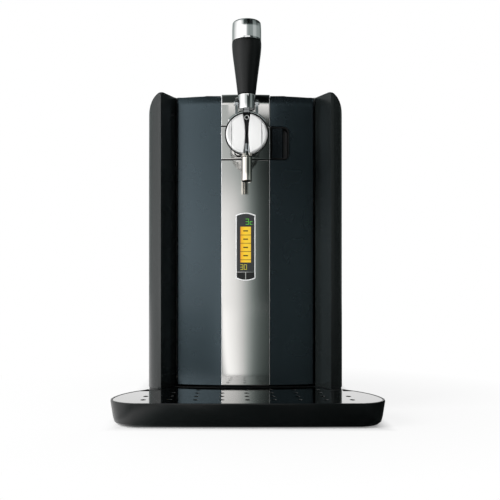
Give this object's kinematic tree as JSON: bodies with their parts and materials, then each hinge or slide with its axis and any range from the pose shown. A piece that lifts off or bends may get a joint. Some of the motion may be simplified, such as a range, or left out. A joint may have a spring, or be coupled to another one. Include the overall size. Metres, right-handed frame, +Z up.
{
  "type": "mini keg beer dispenser",
  "caption": "Countertop beer dispenser for small kegs: cooled chamber behind a curved door with a chromed tap and lever, and a wide drip tray in front.",
  "frame": {"origin": "on the table, under the middle of the machine's box", "axes": "+Z up, the door and tap face -Y, +X to the right as seen by a person facing the tap"},
  "size_m": [0.3294, 0.495, 0.5045],
  "materials": {
    "gloss_black": "high-gloss black plastic",
    "satin_black": "satin black plastic",
    "button_black": "gloss black plastic",
    "slate_lacquer": "slate grey metallic lacquer, gloss",
    "polished_steel": "polished stainless steel",
    "plate_steel": "finely brushed stainless steel",
    "chrome": "bright chrome",
    "plain_steel": "zinc plated steel",
    "aluminium": "plain aluminium",
    "rubber": "matt black rubber",
    "grip_black": "soft-touch black plastic",
    "display_lens": "dark grey glossy window",
    "grey_plastic": "moulded grey plastic",
    "foam": "rigid insulating foam",
    "ceramic_white": "white ceramic",
    "board_green": "green circuit board"
  },
  "bodies": {
    "housing": {"base_pan": "satin_black", "side_panel_left": "gloss_black", "side_panel_right": "gloss_black", "top_cover": "satin_black", "front_frame": "satin_black", "rear_cover": "satin_black", "foot_front_left": "rubber", "foot_front_right": "rubber", "foot_rear_left": "rubber", "foot_rear_right": "rubber", "hinge_bracket_lower": "plain_steel", "hinge_bracket_upper": "plain_steel", "latch_strike": "plain_steel", "chamber_liner": "grey_plastic", "foam_jacket": "foam", "keg_seat": "rubber", "docking_frame": "satin_black", "docking_pin": "plain_steel", "cooling_plate": "aluminium", "thermoelectric_module": "ceramic_white", "heat_sink": "aluminium", "fan_frame": "satin_black", "air_pump": "grey_plastic", "control_board": "board_green", "power_supply": "plain_steel", "power_inlet": "satin_black"},
    "door": {"door_frame": "satin_black", "door_panel_left": "slate_lacquer", "door_panel_right": "slate_lacquer", "strip_upper": "polished_steel", "band_plate": "polished_steel", "strip_lower": "polished_steel", "door_liner": "grey_plastic", "door_seal": "rubber", "display_lens": "display_lens", "display_module": "board_green", "latch_cup": "satin_black", "latch_tongue": "plain_steel", "tap_housing": "chrome", "tap_cover_left": "chrome", "tap_cover_right": "chrome", "tap_core": "satin_black", "spout": "chrome", "lever_pin": "chrome"},
    "tap_lever": {"lever_collar": "chrome", "lever_cam": "plain_steel", "lever_grip": "grip_black", "lever_cap": "chrome"},
    "left_button": {"button_left": "button_black"},
    "right_button": {"button_right": "button_black"},
    "latch_tab": {"release_tab": "gloss_black"},
    "tray": {"drip_tray": "gloss_black", "tray_pad_left": "rubber", "tray_pad_right": "rubber"},
    "tray_plate": {"drip_plate": "plate_steel"},
    "fan": {"fan_rotor": "satin_black"},
    "bail": {"docking_bail": "grey_plastic"},
    "keg_coupler": {"docking_head": "grey_plastic", "docking_seal": "rubber"}
  },
  "joints": [
    {"name": "door_hinge", "type": "hinge", "parent": "housing", "child": "door", "pos_m": [-0.089, -0.0889, 0.2225], "axis": [0, 0, 1], "range_deg": [-90, 0]},
    {"name": "tap_lever_pull", "type": "hinge", "parent": "door", "child": "tap_lever", "pos_m": [0, -0.1635, 0.3965], "axis": [1, 0, 0], "range_deg": [0, 22]},
    {"name": "left_button_press", "type": "slide", "parent": "door", "child": "left_button", "axis": [0, 1, 0], "range_m": [0, 0.0008], "stiffness_N_per_m": 400},
    {"name": "right_button_press", "type": "slide", "parent": "door", "child": "right_button", "axis": [0, 1, 0], "range_m": [0, 0.0008], "stiffness_N_per_m": 400},
    {"name": "release_tab_pull", "type": "hinge", "parent": "door", "child": "latch_tab", "pos_m": [0.0372, -0.1011, 0.356], "axis": [0, 0, -1], "range_deg": [0, 25], "stiffness_Nm_per_rad": 0.05},
    {"name": "tray_slide", "type": "slide", "parent": "housing", "child": "tray", "axis": [0, -1, 0], "range_m": [0, 0.07]},
    {"name": "plate_lift", "type": "slide", "parent": "tray", "child": "tray_plate", "axis": [0, 0, 1], "range_m": [0, 0.03]},
    {"name": "fan_spin", "type": "hinge", "parent": "housing", "child": "fan", "pos_m": [0, 0.1984, 0.202], "axis": [0, 1, 0], "continuous": true},
    {"name": "bail_press", "type": "hinge", "parent": "housing", "child": "bail", "pos_m": [0, 0.06, 0.372], "axis": [1, 0, 0], "range_deg": [0, 12]},
    {"name": "coupler_slide", "type": "slide", "parent": "housing", "child": "keg_coupler", "axis": [0, 0, 1], "range_m": [-0.0085, 0]}
  ],
  "couplings": [
    {"joint": "coupler_slide", "follows": "bail_press", "m_per_rad": -0.0406}
  ]
}
